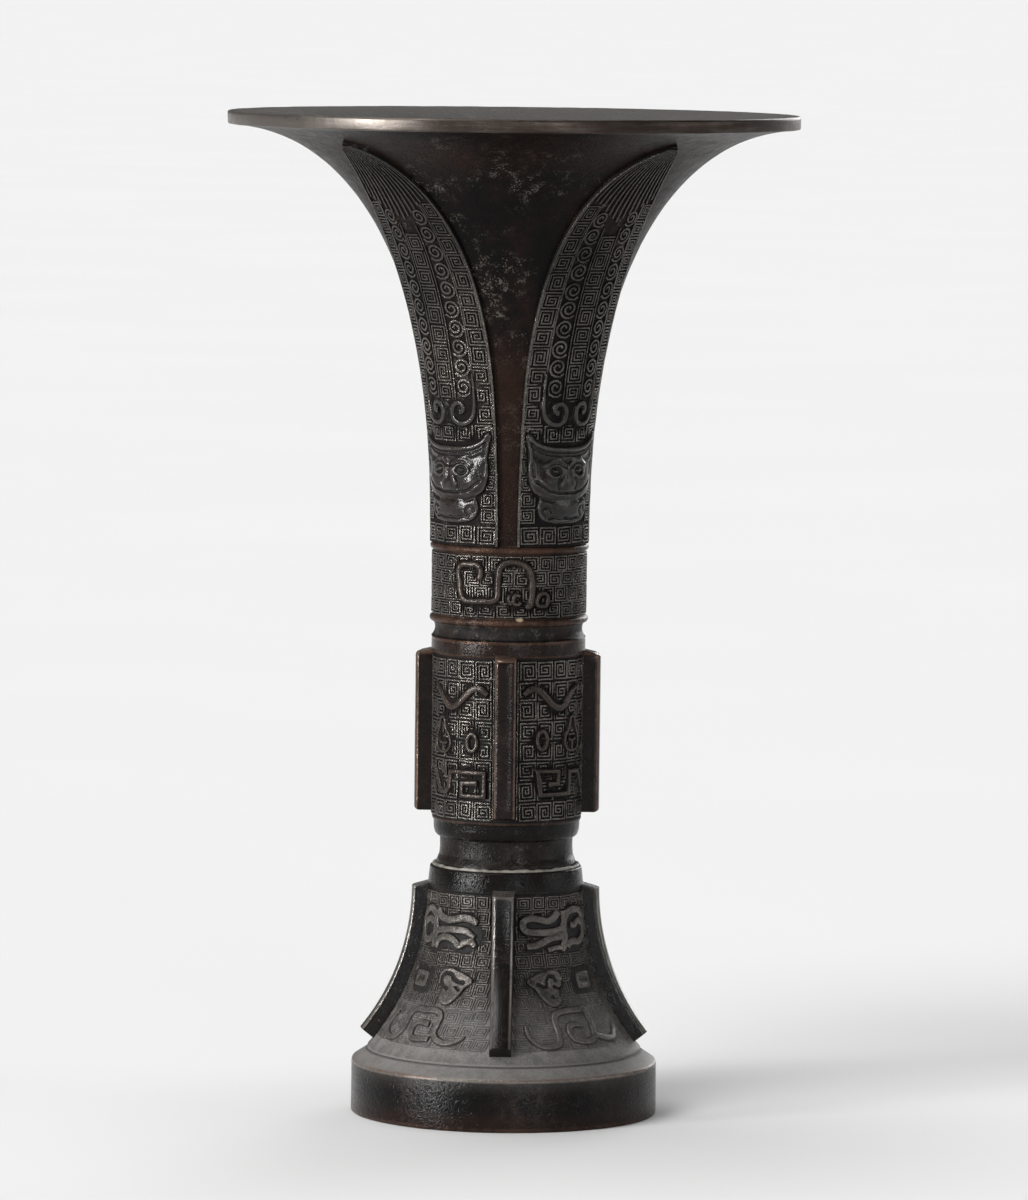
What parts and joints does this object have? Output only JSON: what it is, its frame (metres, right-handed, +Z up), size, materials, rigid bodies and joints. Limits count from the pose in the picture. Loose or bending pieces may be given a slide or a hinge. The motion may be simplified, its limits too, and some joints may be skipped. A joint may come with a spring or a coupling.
{
  "type": "gu beaker vase",
  "caption": "Tall bronze beaker with a trumpet mouth, a drum middle with upright bars, and a flared hollow foot, cast in sections and soldered end to end",
  "frame": {"origin": "centre of the foot ring's underside, on the vessel's axis", "axes": "+Z up along the vessel's axis; -Y towards the front bar, the side seen in the picture; +X to the right of it"},
  "size_m": [0.171, 0.171, 0.3],
  "materials": {
    "patinated_bronze": "dark brown-black patina, satin, worn reddish-brown on edges",
    "worn_bronze": "dark brown patina rubbed reddish-brown on the edges",
    "solder": "dull pale solder"
  },
  "bodies": {
    "root": {"neck_section": "patinated_bronze", "middle_section": "patinated_bronze", "foot_section": "patinated_bronze", "bowl_floor": "patinated_bronze", "mid_flange_front": "worn_bronze", "mid_flange_right": "worn_bronze", "mid_flange_back": "worn_bronze", "mid_flange_left": "worn_bronze", "foot_flange_front": "worn_bronze", "foot_flange_right": "worn_bronze", "foot_flange_back": "worn_bronze", "foot_flange_left": "worn_bronze", "floor_solder": "solder", "neck_joint_solder": "solder", "foot_joint_solder": "solder"}
  },
  "joints": []
}
